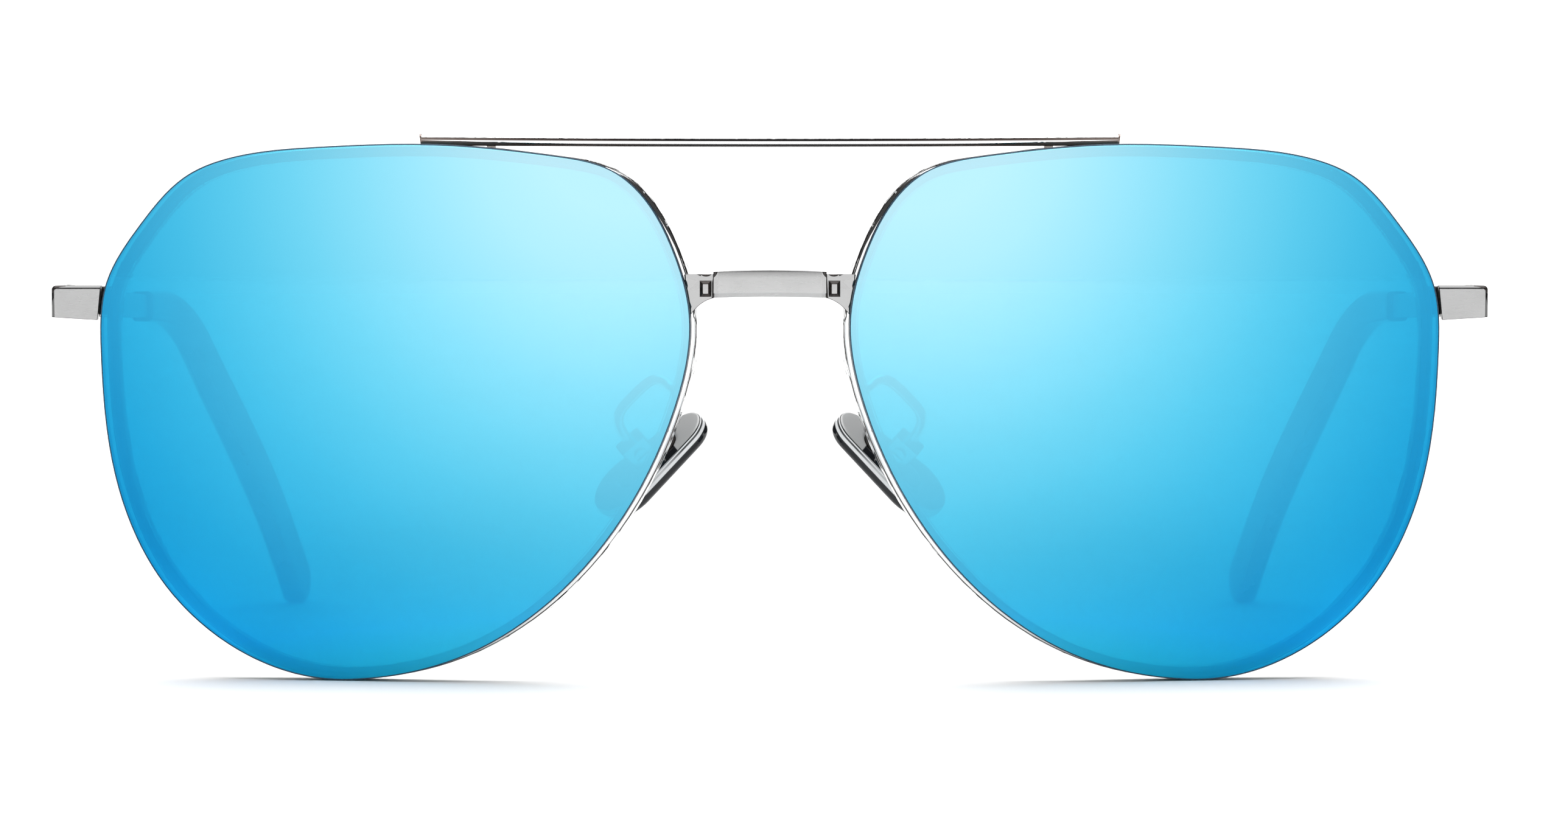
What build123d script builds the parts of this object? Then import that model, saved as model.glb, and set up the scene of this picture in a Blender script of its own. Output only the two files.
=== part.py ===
"""Aviator sunglasses with mirror lenses laid over thin metal rims.

Millimetres. X runs to the right of somebody who looks at the front, the front faces -Y, the
temples run back along +Y, and Z is up. The glasses stand open on a flat floor at Z = 0, on the
bottoms of both lenses and on both temple tips. X = 0 is the plane between the two halves.
Every paired piece is drawn on the right (+X) and mirrored to the left.
"""

from build123d import *
from math import cos, radians, sin
import os

os.makedirs("parts", exist_ok=True)

# ---- lens and rim -------------------------------------------------------------------------
WRAP = 8  # degrees, each lens turns back towards its temple
TILT = 6  # degrees, the lens bottom leans towards the face
BASE_RADIUS = 130.0  # front surface of the lens
LENS_VERTEX = Vector(38.6, -67.0, 28.35)  # middle of the lens, on its front surface
PLATE = 1.2  # lens plate in front of the rim
STEP = 1.0  # step of the lens that sits inside the rim
RIM_WIDTH = 1.2  # seen from the front
RIM_DEPTH = 2.4
RIM_PROUD = 0.1  # how far the rim stands out past the lens edge
RIM_SHIFT = 0.35  # the rim and the step of the lens sit this much nearer the nose
STEP_GAP = 0.15  # between the step of the lens and the rim
GLUE = 0.02  # film of glue between the lens plate and the rim
REACH = 15  # outlines are drawn out this far both ways before the domes trim them

# The lens outline on the lens plane, from the bottom up the temple side and round again
LENS_OUTLINE = [
    (5.4, -28.45),
    (17.4, -25.75),
    (25.9, -18.2),
    (30.3, -8.1),
    (31.8, 5.5),
    (31.3, 12.3),
    (27.5, 18.7),
    (22.4, 23.9),
    (17.65, 25.8),
    (8.2, 27.0),
    (-4.1, 27.4),
    (-16.2, 26.4),
    (-22.2, 24.9),
    (-25.6, 21.9),
    (-28.3, 17.0),
    (-30.1, 10.2),
    (-28.7, 0.75),
    (-22.6, -11.85),
    (-16.9, -18.6),
    (-8.0, -24.95),
]

# ---- brow bar and bridge ------------------------------------------------------------------
BROW_HALF = 35.7  # half length of the brow bar
BROW_END = (-65.4, 56.08)  # Y and Z of the ends of its axis
BROW_MIDDLE = (-67.2, 55.88)  # Y and Z of the middle of its axis
BROW_HEIGHT, BROW_DEPTH, BROW_CORNER_R = 1.1, 1.5, 0.5
CAP_HEIGHT, CAP_DEPTH, CAP_LENGTH = 1.2, 1.6, 0.2  # collar on each end of the brow bar
CAP_RISE, CAP_LEAN = 0.02, 8  # the collar sits a little high, and its top leans outwards
CAP_CORNER_R = 0.45
BROW_FEET = ((28.6, 0.9), (34.0, 3.0))  # middle and length along X of each solder foot
FOOT_DEPTH, FOOT_BACK = 1.2, 0.5  # the solder sits under the bar and behind it
FOOT_RISE, FOOT_DROP = 0.1, 1.2  # from its top, over the ends of the axis, it reaches this far down
BRIDGE_FACE_Y = -67.9
BRIDGE_DEPTH = 2.2
BRIDGE_HALF = 5.8  # half length of the bar between its two necks
BRIDGE_TOP, BRIDGE_BOTTOM = 42.55, 39.88  # at the ends of the bar
BRIDGE_CROWN, BRIDGE_SAG = 0.15, 0.1  # its middle stands this much higher, top and bottom
BRIDGE_BEVEL = 0.45  # along the lower front edge
NECK_SETBACK = 0.6
NECK_START, NECK_END = 5.0, 9.6  # the outer end is buried in the rim, which then trims it
BRIDGE_REACH = 8.7  # nothing of the bridge is left further out than this
NECK_CREST, NECK_FOOT = 42.3, 38.0
NECK_CURVE = ((8.2, 38.0), (7.0, 39.3), (5.0, 40.0))  # lower edge of the neck
BLOCK = (6.6, 40.8, 1.15, 1.6)  # block on the neck: X and Z of its middle, width, height
BLOCK_SETBACK, BLOCK_CHAMFER = 0.2, 0.3
SCOOP_R = 1.3  # rounded hollow over the block
SCOOP_MIDDLE = (6.55, -68.3, 42.95)

# ---- endpiece, hinge and temple -----------------------------------------------------------
STRAP_OUTER = 74.7  # outer face of endpiece and temple
STRAP_THICK = 1.2
STRAP_INNER = STRAP_OUTER - STRAP_THICK
STRAP_BOTTOM, STRAP_TOP = 37.8, 41.1
STRAP_FRONT = -59.2
STRAP_INNER_END = ((69.55, 41.1), (69.9, 37.5))  # X and Z of the inner end, top and bottom
STRAP_CORNER_R, STRAP_EDGE_R = 0.45, 0.45
LUG_TOP, LUG_BOTTOM = 41.0, 38.05  # the set back lug between strap and rim
LUG_PLAN = ((71.0, 0.0), (71.0, 1.8), (68.4, 1.8), (68.4, 1.3), (69.9, 0.0))  # X, and Y behind strap
HINGE_X, HINGE_Y = STRAP_INNER - 1.3, -49.9  # hinge axis, which is vertical
HINGE_BOTTOM, HINGE_TOP = STRAP_BOTTOM + 0.1, STRAP_TOP - 0.5  # the screw head stands above
BUTT_GAP = 0.1  # between the end of the endpiece and the temple
BARREL_R = 1.2
KNUCKLE = 0.8  # height of the middle knuckle of the hinge
KNUCKLE_GAP = 0.05
KNUCKLE_SHIFT = 0.1  # the arm of each knuckle is this much nearer the middle than its leaf
LEAF_THICK, LEAF_LENGTH = 0.6, 4.0
SWING_R = 1.35  # leaves stay outside this radius, except at their own knuckles
SCREW_R, SCREW_HEAD_R, SCREW_HEAD = 0.45, 0.85, 0.4
SCREW_HEAD_ROUND, SCREW_FOOT = 0.15, 0.1  # the foot stands out below the hinge
SCREW_CLEARANCE = 0.05
SLOT_WIDTH, SLOT_DEPTH = 0.22, 0.2

TEMPLE_MIDDLE = 39.4  # height of its middle line at the hinge
TEMPLE_STRAIGHT = 8.0  # the temple leaves the hinge straight for this far
TEMPLE_RUN = ((73.5, -5), (72.3, 21), (66.6, 42), (62.6, 56), (59.6, 71))  # X and Y after that
TEMPLE_ENDS = ((0, 1), (-0.2, 1))  # directions of that run at its ends
EAR_BEND = (27.5, 38.0)  # Y and Z where the two straight stretches of the temple would meet
BEND_R = 20.0
TIP_END = (66.7, 2.8)  # Y and Z of the middle of the round end of the tip
TIP_START = 10.0  # Y of the front end of the sleeve
SLEEVE_HALF_START, SLEEVE_HALF_END = 1.75, 2.8  # half heights of the sleeve
SLEEVE_THICK, SLEEVE_ROUND = 2.6, 0.7
SLEEVE_BEND = Vector(1.0, SLEEVE_HALF_START + 0.1)  # corners of the sleeve from EAR_BEND
CORE_HEIGHT = 1.8  # core wire inside the sleeve
CORE_START = (-2.0, 0.03)  # its front end from the start of the sleeve, along Y and Z
CORE_END = 0.78  # how far down the sloping stretch the core wire reaches
BLADE_END_HALF = 1.35  # half height of the flat temple where the sleeve starts

# ---- nose pads ----------------------------------------------------------------------------
PAD_MIDDLE = Vector(12.9, -56.6, 22.9)  # middle of the back of the pad
PAD_SPLAY = 28  # degrees, the rear edge stands further out
PAD_LEAN = 48  # degrees, the top leans towards the middle
PAD_TOP_R, PAD_BOTTOM_R, PAD_LENGTH = 2.6, 4.0, 14.5
PAD_THICK, PAD_FRONT_ROUND, PAD_BACK_ROUND = 2.2, 1.0, 0.4
CORE_PLATE = (3.4, 7.6, 0.5)  # metal insert in the back of the pad
TANG_THICK, TANG_R = 1.0, 0.85
PIVOT_HEIGHT = 1.5  # pad screw axis above the back of the pad
BOX, BOX_CORNER_R = (2.6, 3.0, 2.6), 0.3  # pad box
TANG_ROOM = 0.2  # the slot in the box is this much wider than the tang
BOX_GAP = 0.35  # between the pad box and the back of the pad
BOX_FLOOR = 0.55
PAD_SCREW_HEAD_R, PAD_SCREW_HEAD = 0.75, 0.35
ARM_RUN = ((9.7, -64.6, 30.2), (11.6, -62.3, 31.4), (14.2, -60.6, 29.6))  # from inside the rim
ARM_START = (0.3, 1, 0.2)  # direction in which it leaves the rim
ARM_R = 0.55
ARM_BITE = 0.2  # its end goes this far into the pad box, which trims it


# ---- helpers ------------------------------------------------------------------------------
def save(piece, name):
    piece.label = name
    export_step(piece, f"parts/{name}.step")


def save_pair(piece, name):
    """Write a right-hand piece and its mirror image."""
    save(piece, f"{name}_right")
    with BuildPart() as twin:
        mirror(piece, about=Plane.YZ)
    save(twin.part, f"{name}_left")


lens_axis = Vector(0, -1, 0).rotate(Axis.Z, WRAP).rotate(Axis.X, TILT)
lens_across = Vector(1, 0, 0).rotate(Axis.Z, WRAP).rotate(Axis.X, TILT)
wall_direction = Vector(0, -1, 0).rotate(Axis.Z, WRAP)  # lens and rim edges run level
lens_plane = Plane(origin=LENS_VERTEX, x_dir=lens_across, z_dir=lens_axis)
curve_centre = LENS_VERTEX - lens_axis * BASE_RADIUS


def dome(outer_radius, inner_radius, half_angle=20):
    """A patch of spherical shell that follows the lens curve between two radii."""
    start = lens_across.cross(lens_axis).rotate(Axis((0, 0, 0), lens_across), -half_angle)
    with BuildPart() as shell:
        with BuildSketch(Plane(origin=curve_centre, x_dir=lens_across, z_dir=start)):
            with BuildLine():
                outer = CenterArc((0, 0), outer_radius, 90 - half_angle, 2 * half_angle)
                inner = CenterArc((0, 0), inner_radius, 90 - half_angle, 2 * half_angle)
                Line(outer @ 0, inner @ 0)
                Line(outer @ 1, inner @ 1)
            make_face()
        revolve(axis=Axis(curve_centre, lens_across), revolution_arc=2 * half_angle)
    return shell.part


def lens_outline(grow=0.0, shift=0.0):
    """The lens outline on the lens plane, made larger or smaller, and moved towards the nose."""
    with BuildSketch(lens_plane) as outline:
        with BuildLine():
            lens_edge = Spline(*LENS_OUTLINE, periodic=True, mode=Mode.PRIVATE)
            moved = []
            for point in LENS_OUTLINE:
                along = lens_edge.tangent_at(Vector(*point))
                moved.append(Vector(*point) + Vector(along.Y, -along.X) * grow - Vector(shift, 0))
            Spline(*moved, periodic=True)
        make_face()
    return outline.sketch


def outline_block(grow=0.0, shift=0.0):
    """The lens outline drawn out level both ways, for a dome to trim."""
    with BuildPart() as block:
        extrude(lens_outline(grow, shift), amount=REACH, dir=wall_direction, both=True)
    return block.part


# ---- rims and lenses ----------------------------------------------------------------------
plate_back = BASE_RADIUS - PLATE
rim_front = plate_back - GLUE

with BuildPart() as rim:
    add(outline_block(RIM_PROUD, RIM_SHIFT))
    add(outline_block(-RIM_WIDTH, RIM_SHIFT), mode=Mode.SUBTRACT)
    add(dome(rim_front, rim_front - RIM_DEPTH), mode=Mode.INTERSECT)
save_pair(rim.part, "rim")

with BuildPart() as lens_step:
    add(outline_block(-RIM_WIDTH - STEP_GAP, RIM_SHIFT))
    add(dome(plate_back + PLATE / 2, plate_back - STEP), mode=Mode.INTERSECT)

with BuildPart() as lens:
    add(outline_block())
    add(dome(BASE_RADIUS, plate_back), mode=Mode.INTERSECT)
    add(lens_step.part)
save_pair(lens.part, "lens")

with BuildPart() as both_fronts:
    add(rim.part)
    add(lens.part)
    mirror(about=Plane.YZ)

# ---- brow bar and its solder feet ---------------------------------------------------------
with BuildPart() as brow_bar:
    with BuildLine() as brow_axis:
        Spline((-BROW_HALF, *BROW_END), (0, *BROW_MIDDLE), (BROW_HALF, *BROW_END))
    with BuildSketch(Plane(brow_axis.line @ 0, x_dir=(0, 0, 1), z_dir=brow_axis.line % 0)):
        RectangleRounded(BROW_HEIGHT, BROW_DEPTH, BROW_CORNER_R)
    sweep()
    for side in (-1, 1):
        end_point = Vector(side * BROW_HALF, BROW_END[0], BROW_END[1] + CAP_RISE)
        outwards = Vector(side, 0, 0).rotate(Axis.Y, side * CAP_LEAN)
        with BuildSketch(Plane(end_point, x_dir=(0, 1, 0), z_dir=outwards)):
            RectangleRounded(CAP_DEPTH, CAP_HEIGHT, CAP_CORNER_R)
        extrude(amount=CAP_LENGTH)
    add(both_fronts.part, mode=Mode.SUBTRACT)
save(brow_bar.part, "brow_bar")

foot_plane = Plane.XY.offset(BROW_END[1] + FOOT_RISE)
with BuildPart() as brow_feet:
    for middle, length in BROW_FEET:
        share = middle / BROW_HALF
        foot_y = BROW_MIDDLE[0] + (BROW_END[0] - BROW_MIDDLE[0]) * share**2
        with BuildSketch(foot_plane):
            with Locations((middle, foot_y + FOOT_BACK)):
                Rectangle(length, FOOT_DEPTH)
        extrude(amount=-FOOT_DROP)
    add(brow_bar.part, mode=Mode.SUBTRACT)
    add(both_fronts.part, mode=Mode.SUBTRACT)
save_pair(brow_feet.part, "brow_foot")

# ---- bridge -------------------------------------------------------------------------------
bridge_front = Plane.XZ.offset(-BRIDGE_FACE_Y)
with BuildPart() as bridge:
    with BuildSketch(bridge_front):
        with BuildLine():
            top = ThreePointArc(
                (-BRIDGE_HALF, BRIDGE_TOP), (0, BRIDGE_TOP + BRIDGE_CROWN), (BRIDGE_HALF, BRIDGE_TOP)
            )
            bottom = ThreePointArc(
                (-BRIDGE_HALF, BRIDGE_BOTTOM),
                (0, BRIDGE_BOTTOM + BRIDGE_SAG),
                (BRIDGE_HALF, BRIDGE_BOTTOM),
            )
            Line(top @ 0, bottom @ 0)
            Line(top @ 1, bottom @ 1)
        make_face()
    extrude(amount=-BRIDGE_DEPTH)
    front_edges = bridge.edges().filter_by(Axis.Y, reverse=True).group_by(Axis.Y)[0]
    chamfer(front_edges.sort_by(Axis.Z)[0], length=BRIDGE_BEVEL)
    with BuildSketch(bridge_front.offset(-NECK_SETBACK)):
        with BuildLine():
            Polyline(
                NECK_CURVE[-1],
                (NECK_START, NECK_CREST),
                (NECK_END, NECK_CREST),
                (NECK_END, NECK_FOOT),
                NECK_CURVE[0],
            )
            ThreePointArc(*NECK_CURVE)
        make_face()
        mirror(about=Plane.YZ)
    extrude(amount=-BRIDGE_DEPTH + NECK_SETBACK)
    for side in (-1, 1):
        with BuildPart(mode=Mode.PRIVATE) as block:
            with BuildSketch(bridge_front.offset(-BLOCK_SETBACK)):
                with Locations((side * BLOCK[0], BLOCK[1])):
                    Rectangle(BLOCK[2], BLOCK[3])
            extrude(amount=-BRIDGE_DEPTH / 2)
            chamfer(block.faces().sort_by(Axis.Y)[0].edges(), length=BLOCK_CHAMFER)
        add(block.part)
        with Locations((side * SCOOP_MIDDLE[0], SCOOP_MIDDLE[1], SCOOP_MIDDLE[2])):
            Sphere(SCOOP_R, mode=Mode.SUBTRACT)
    add(both_fronts.part, mode=Mode.SUBTRACT)
    with BuildSketch(bridge_front.offset(1)):
        Rectangle(2 * BRIDGE_REACH, 3 * BRIDGE_TOP)
    extrude(amount=-2 * BRIDGE_DEPTH, mode=Mode.INTERSECT)
save(bridge.part, "bridge")

# ---- endpiece -----------------------------------------------------------------------------
LEG_END = HINGE_Y - BUTT_GAP / 2
STRAP_BACK = STRAP_FRONT + STRAP_THICK
with BuildPart() as endpiece:
    with BuildSketch(Plane.XZ.offset(-STRAP_FRONT)):
        with BuildLine():
            Polyline(
                STRAP_INNER_END[0],
                (STRAP_OUTER, STRAP_TOP),
                (STRAP_OUTER, STRAP_BOTTOM),
                STRAP_INNER_END[1],
                close=True,
            )
        make_face()
    extrude(amount=-STRAP_THICK)
    with BuildSketch(Plane.XY.offset(STRAP_BOTTOM)):
        with Locations((STRAP_OUTER - STRAP_THICK / 2, (STRAP_BACK + LEG_END) / 2)):
            Rectangle(STRAP_THICK, LEG_END - STRAP_BACK)
    extrude(amount=STRAP_TOP - STRAP_BOTTOM)
    upright = endpiece.edges().filter_by(Axis.Z).group_by(Axis.X)[-1].sort_by(Axis.Y)[0]
    fillet(upright, radius=STRAP_CORNER_R)
    upper_edges = endpiece.edges().group_by(Axis.Z)[-1].filter_by(Axis.Y).sort_by(Axis.X)
    fillet(upper_edges[-1], radius=STRAP_EDGE_R)
    with BuildSketch(Plane.XY.offset(LUG_BOTTOM)):
        with BuildLine():
            Polyline(*[(x, STRAP_BACK + behind) for x, behind in LUG_PLAN], close=True)
        make_face()
    extrude(amount=LUG_TOP - LUG_BOTTOM)
    add(both_fronts.part, mode=Mode.SUBTRACT)
save_pair(endpiece.part, "endpiece")

# ---- hinge --------------------------------------------------------------------------------
KNUCKLE_BOTTOM = (HINGE_BOTTOM + HINGE_TOP - KNUCKLE) / 2
KNUCKLE_TOP = KNUCKLE_BOTTOM + KNUCKLE
hinge_axis_point = (HINGE_X, HINGE_Y)
LEAF_X = STRAP_INNER - LEAF_THICK


def leaf_and_knuckle(direction, bottom, top):
    """One leaf, full height outside the swing circle, with a knuckle between two heights."""
    leaf_start = HINGE_Y + direction * SWING_R
    with BuildPart() as leaf:
        with BuildSketch(Plane.XY.offset(HINGE_BOTTOM)):
            with Locations((LEAF_X + LEAF_THICK / 2, leaf_start + direction * LEAF_LENGTH / 2)):
                Rectangle(LEAF_THICK, LEAF_LENGTH)
        extrude(amount=HINGE_TOP - HINGE_BOTTOM)
        with BuildSketch(Plane.XY.offset(bottom)):
            with Locations(hinge_axis_point):
                Circle(BARREL_R)
            with Locations((LEAF_X + LEAF_THICK / 2 - KNUCKLE_SHIFT, HINGE_Y + direction * SWING_R / 2)):
                Rectangle(LEAF_THICK, SWING_R)
        extrude(amount=top - bottom)
    return leaf.part


with BuildPart() as front_hinge:
    add(leaf_and_knuckle(-1, HINGE_BOTTOM, KNUCKLE_BOTTOM - KNUCKLE_GAP))
    add(leaf_and_knuckle(-1, KNUCKLE_TOP + KNUCKLE_GAP, HINGE_TOP))
    with BuildSketch(Plane.XY.offset(HINGE_BOTTOM)):
        with Locations(hinge_axis_point):
            Circle(SCREW_R)
    extrude(amount=HINGE_TOP - HINGE_BOTTOM, mode=Mode.SUBTRACT)
save_pair(front_hinge.part, "front_hinge")

with BuildPart() as hinge_screw:
    with BuildSketch(Plane.XY.offset(HINGE_BOTTOM - SCREW_FOOT)):
        with Locations(hinge_axis_point):
            Circle(SCREW_R)
    extrude(amount=HINGE_TOP - HINGE_BOTTOM + SCREW_FOOT)
    with BuildSketch(Plane.XY.offset(HINGE_TOP)):
        with Locations(hinge_axis_point):
            Circle(SCREW_HEAD_R)
    extrude(amount=SCREW_HEAD)
    fillet(hinge_screw.edges().group_by(Axis.Z)[-1], radius=SCREW_HEAD_ROUND)
    with BuildSketch(Plane.XY.offset(HINGE_TOP + SCREW_HEAD)):
        with Locations(hinge_axis_point):
            Rectangle(3 * SCREW_HEAD_R, SLOT_WIDTH)
    extrude(amount=-SLOT_DEPTH, mode=Mode.SUBTRACT)
save_pair(hinge_screw.part, "hinge_screw")

# ---- temple -------------------------------------------------------------------------------
TEMPLE_START = HINGE_Y + BUTT_GAP / 2
TEMPLE_X = STRAP_OUTER - STRAP_THICK / 2


def temple_plan(width):
    """The temple from above: it runs nearly straight, then its tip curves inwards."""
    with BuildSketch() as plan:
        with BuildLine() as run:
            straight = Line(
                (TEMPLE_X, TEMPLE_START), (TEMPLE_X, TEMPLE_START + TEMPLE_STRAIGHT)
            )
            Spline(straight @ 1, *TEMPLE_RUN, tangents=TEMPLE_ENDS)
        trace(run.line, line_width=width)
    return plan.sketch


side_plane = Plane(origin=(0, 0, 0), x_dir=(0, 1, 0), z_dir=(1, 0, 0))
with BuildLine(mode=Mode.PRIVATE) as temple_middle:
    FilletPolyline((TEMPLE_START, TEMPLE_MIDDLE), EAR_BEND, TIP_END, radius=BEND_R)
slope = (Vector(*TIP_END) - Vector(*EAR_BEND)).normalized()
across_slope = Vector(-slope.Y, slope.X)
core_end = Vector(*EAR_BEND) + (Vector(*TIP_END) - Vector(*EAR_BEND)) * CORE_END
tip_share = (TIP_START - TEMPLE_START) / (EAR_BEND[0] - TEMPLE_START)
tip_middle = TEMPLE_MIDDLE + (EAR_BEND[1] - TEMPLE_MIDDLE) * tip_share
SIDEWAYS = 90.0  # side outlines are drawn out this far along X, for the plan to trim them
UPWARDS = 60.0  # and the plan is drawn out this far along Z

with BuildPart() as temple_arm:
    with BuildSketch(side_plane):
        with BuildLine():
            Polyline(
                (TEMPLE_START, STRAP_TOP),
                (TIP_START, tip_middle + BLADE_END_HALF),
                (TIP_START, tip_middle - BLADE_END_HALF),
                (TEMPLE_START, STRAP_BOTTOM),
                close=True,
            )
        make_face()
        with BuildLine() as core_line:
            core_start = (TIP_START + CORE_START[0], tip_middle + CORE_START[1])
            FilletPolyline(core_start, EAR_BEND, core_end, radius=BEND_R)
        trace(core_line.line, line_width=CORE_HEIGHT)
    extrude(amount=SIDEWAYS)
    extrude(temple_plan(STRAP_THICK), amount=UPWARDS, mode=Mode.INTERSECT)
save_pair(temple_arm.part, "temple_arm")

with BuildPart() as temple_tip:
    with BuildSketch(side_plane):
        with BuildLine():
            end = Vector(*TIP_END)
            upper_end = end + across_slope * SLEEVE_HALF_END
            lower_end = end - across_slope * SLEEVE_HALF_END
            upper = FilletPolyline(
                (TIP_START, tip_middle + SLEEVE_HALF_START),
                Vector(*EAR_BEND) + SLEEVE_BEND,
                upper_end,
                radius=BEND_R + SLEEVE_HALF_START,
            )
            lower = FilletPolyline(
                (TIP_START, tip_middle - SLEEVE_HALF_START),
                Vector(*EAR_BEND) - SLEEVE_BEND,
                lower_end,
                radius=BEND_R - SLEEVE_HALF_START,
            )
            ThreePointArc(upper_end, end + slope * SLEEVE_HALF_END, lower_end)
            Line(upper @ 0, lower @ 0)
        make_face()
    extrude(amount=SIDEWAYS)
    extrude(temple_plan(SLEEVE_THICK), amount=UPWARDS, mode=Mode.INTERSECT)
    long_edges = temple_tip.edges().filter_by(lambda edge: edge.length > 1.1 * SLEEVE_THICK)
    fillet(long_edges, radius=SLEEVE_ROUND)
    add(temple_arm.part, mode=Mode.SUBTRACT)
save_pair(temple_tip.part, "temple_tip")

with BuildPart() as temple_hinge:
    add(leaf_and_knuckle(1, KNUCKLE_BOTTOM, KNUCKLE_TOP))
    with BuildSketch(Plane.XY.offset(HINGE_BOTTOM)):
        with Locations(hinge_axis_point):
            Circle(SCREW_R + SCREW_CLEARANCE)
    extrude(amount=HINGE_TOP - HINGE_BOTTOM, mode=Mode.SUBTRACT)
    add(temple_arm.part, mode=Mode.SUBTRACT)
save_pair(temple_hinge.part, "temple_hinge")

# ---- nose pads ----------------------------------------------------------------------------
pad_normal = Vector(-1, 0, 0).rotate(Axis.Z, -PAD_SPLAY).rotate(Axis.Y, -PAD_LEAN)
pad_forward = Vector(0, -1, 0).rotate(Axis.Z, -PAD_SPLAY).rotate(Axis.Y, -PAD_LEAN)
pad_plane = Plane(origin=PAD_MIDDLE, x_dir=pad_forward, z_dir=pad_normal)
back_plane = Plane(origin=PAD_MIDDLE, x_dir=pad_forward, z_dir=-pad_normal)
pivot = PAD_MIDDLE - pad_normal * PIVOT_HEIGHT
pivot_plane = Plane(origin=pivot, x_dir=pad_plane.y_dir, z_dir=pad_forward)
half_run = (PAD_LENGTH - PAD_TOP_R - PAD_BOTTOM_R) / 2
shift = (PAD_BOTTOM_R - PAD_TOP_R) / 2

with BuildPart() as pad_core:
    with BuildSketch(pad_plane):
        SlotOverall(CORE_PLATE[1], CORE_PLATE[0], rotation=90)
    extrude(amount=CORE_PLATE[2])
    with BuildSketch(pivot_plane):
        Circle(TANG_R)
        with Locations((0, PIVOT_HEIGHT / 2)):
            Rectangle(2 * TANG_R, PIVOT_HEIGHT)
    extrude(amount=TANG_THICK / 2, both=True)
    with BuildSketch(pivot_plane):
        Circle(SCREW_R + SCREW_CLEARANCE)
    extrude(amount=TANG_THICK, both=True, mode=Mode.SUBTRACT)
save_pair(pad_core.part, "pad_core")

with BuildPart() as nose_pad:
    with BuildSketch(pad_plane):
        with Locations((0, half_run + shift)):
            Circle(PAD_TOP_R)
        with Locations((0, -half_run + shift)):
            Circle(PAD_BOTTOM_R)
        make_hull()
    extrude(amount=PAD_THICK)
    fillet(nose_pad.faces().sort_by(Axis(PAD_MIDDLE, pad_normal))[-1].edges(), radius=PAD_FRONT_ROUND)
    fillet(nose_pad.faces().sort_by(Axis(PAD_MIDDLE, pad_normal))[0].edges(), radius=PAD_BACK_ROUND)
    with BuildSketch(pad_plane):
        SlotOverall(CORE_PLATE[1], CORE_PLATE[0], rotation=90)
    extrude(amount=CORE_PLATE[2], mode=Mode.SUBTRACT)
save_pair(nose_pad.part, "nose_pad")

box_plane = back_plane.offset(BOX_GAP)
with BuildPart() as pad_box:
    with BuildSketch(box_plane):
        Rectangle(BOX[0], BOX[1])
    extrude(amount=BOX[2])
    fillet(pad_box.edges().filter_by(Axis(PAD_MIDDLE, pad_normal)), radius=BOX_CORNER_R)
    with BuildSketch(box_plane):
        Rectangle(TANG_THICK + TANG_ROOM, 2 * BOX[1])
    extrude(amount=BOX[2] - BOX_FLOOR, mode=Mode.SUBTRACT)
    with BuildSketch(pivot_plane):
        Circle(SCREW_R)
    extrude(amount=BOX[0], both=True, mode=Mode.SUBTRACT)
save_pair(pad_box.part, "pad_box")

with BuildPart() as pad_screw:
    with BuildSketch(pivot_plane.offset(-BOX[0] / 2)):
        Circle(SCREW_R)
    extrude(amount=BOX[0])
    with BuildSketch(pivot_plane.offset(BOX[0] / 2)):
        Circle(PAD_SCREW_HEAD_R)
    extrude(amount=PAD_SCREW_HEAD)
    with BuildSketch(pivot_plane.offset(BOX[0] / 2 + PAD_SCREW_HEAD)):
        Rectangle(3 * PAD_SCREW_HEAD_R, SLOT_WIDTH)
    extrude(amount=-SLOT_DEPTH, mode=Mode.SUBTRACT)
save_pair(pad_screw.part, "pad_screw")

arm_end = PAD_MIDDLE - pad_normal * (BOX_GAP + BOX[2] - ARM_BITE)
with BuildPart() as pad_arm:
    with BuildLine() as arm_run:
        Spline(*ARM_RUN, arm_end, tangents=(ARM_START, pad_normal))
    with BuildSketch(Plane(arm_run.line @ 0, z_dir=arm_run.line % 0)):
        Circle(ARM_R)
    sweep()
    add(rim.part, mode=Mode.SUBTRACT)
    add(pad_box.part, mode=Mode.SUBTRACT)
save_pair(pad_arm.part, "pad_arm")
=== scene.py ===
"""Looks for the aviator sunglasses: finishes, moulded nose pads, camera, floor and studio light.

Metres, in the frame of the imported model: the front faces -Y, Z is up, and the floor is Z = 0.
Materials work in millimetres.
"""

from math import asin, cos, hypot, pi, radians, sin

import bmesh
import bpy
from mathutils import Matrix, Vector


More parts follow.
